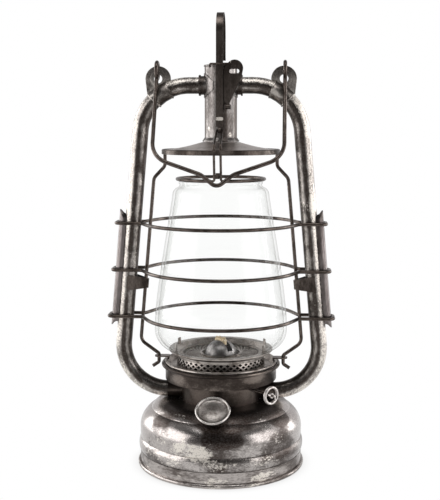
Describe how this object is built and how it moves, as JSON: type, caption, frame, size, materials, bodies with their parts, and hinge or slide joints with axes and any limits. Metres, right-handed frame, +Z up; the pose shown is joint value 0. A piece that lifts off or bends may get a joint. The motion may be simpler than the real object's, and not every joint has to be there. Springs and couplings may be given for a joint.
{
  "type": "tubular kerosene lantern",
  "caption": "Wick-fed tubular kerosene lantern: round tank, burner, lifting glass globe and hood between two side air tubes, wire guard and swinging wire bail.",
  "frame": {"origin": "centre of the foot ring on the surface that the lantern stands on", "axes": "+Z up the chimney, front with the filler cap towards -Y, side tubes along X"},
  "size_m": [0.1628, 0.12, 0.3195],
  "materials": {
    "aged_tin": "tinned sheet steel, dark brown-grey patina",
    "dark_tin": "tinned sheet steel, nearly black with soot and age",
    "silver_tin": "tinned sheet steel, worn silver-grey",
    "steel_wire": "drawn steel wire, dull brown-grey",
    "bright_wire": "drawn steel wire, worn bright",
    "clear_glass": "clear pressed glass",
    "cotton": "flat woven cotton wick",
    "gasket": "pressed fibre washer"
  },
  "bodies": {
    "frame": {"tank_base": "aged_tin", "tank_shell": "aged_tin", "filler_neck": "dark_tin", "burner_cup": "dark_tin", "burner_collar": "aged_tin", "tube_socket_left": "dark_tin", "tube_socket_right": "dark_tin", "side_tube_left": "aged_tin", "side_tube_right": "aged_tin", "tube_saddle_left": "silver_tin", "tube_saddle_right": "silver_tin", "chimney": "silver_tin", "bail_ear_left": "aged_tin", "bail_ear_right": "aged_tin", "guard_strip_left": "aged_tin", "guard_strip_right": "aged_tin", "guard_wire_top": "steel_wire", "guard_wire_middle": "steel_wire", "guard_wire_bottom": "steel_wire", "wire_guide_left": "steel_wire", "wire_guide_right": "steel_wire", "burner_body": "dark_tin", "wick_tube": "dark_tin", "burner_dome": "dark_tin", "shaft_bush": "aged_tin", "latch_bracket": "aged_tin"},
    "cage": {"globe_tray": "silver_tin", "globe_seat": "silver_tin", "tray_lug_left": "steel_wire", "tray_lug_right": "steel_wire", "globe": "clear_glass", "globe_ring": "steel_wire", "ring_clip": "aged_tin", "lift_strap": "dark_tin", "hood": "silver_tin", "side_wire_left": "steel_wire", "side_wire_right": "steel_wire"},
    "gasket": {"cap_gasket": "gasket"},
    "cap": {"filler_cap": "dark_tin"},
    "knob": {"wick_shaft": "steel_wire", "feed_wheels": "steel_wire", "wick_knob": "bright_wire"},
    "wick": {"wick": "cotton"},
    "latch": {"latch_plate": "dark_tin", "latch_wire": "steel_wire"},
    "bail": {"bail": "steel_wire"}
  },
  "joints": [
    {"name": "cage_lift", "type": "slide", "parent": "frame", "child": "cage", "axis": [0, 0, 1], "range_m": [0, 0.018]},
    {"name": "latch_tilt", "type": "hinge", "parent": "frame", "child": "latch", "pos_m": [0.0055, -0.01325, 0.25483], "axis": [1, 0, 0], "range_deg": [0, 12], "stiffness_Nm_per_rad": 0.01, "springref_deg": -5.73},
    {"name": "bail_swing", "type": "hinge", "parent": "frame", "child": "bail", "pos_m": [0, 0, 0.28008], "axis": [-1, 0, 0], "range_deg": [0, 300]},
    {"name": "cap_lift", "type": "slide", "parent": "frame", "child": "gasket", "axis": [0, -0.5592, 0.829], "range_m": [0, 0.0081]},
    {"name": "cap_turn", "type": "hinge", "parent": "gasket", "child": "cap", "pos_m": [-0.002, -0.0503, 0.052], "axis": [0, -0.5592, 0.829], "range_deg": [0, 960]},
    {"name": "wick_turn", "type": "hinge", "parent": "frame", "child": "knob", "pos_m": [-0.00258, -0.00258, 0.06055], "axis": [0.7071, -0.7071, 0], "range_deg": [-173, 86.5]},
    {"name": "wick_lift", "type": "slide", "parent": "frame", "child": "wick", "axis": [0, 0, 1], "range_m": [-0.008, 0.004]}
  ],
  "couplings": [
    {"joint": "cap_lift", "follows": "cap_turn", "m_per_rad": 0.00047746},
    {"joint": "wick_turn", "follows": "wick_lift", "rad_per_m": 377.36}
  ]
}
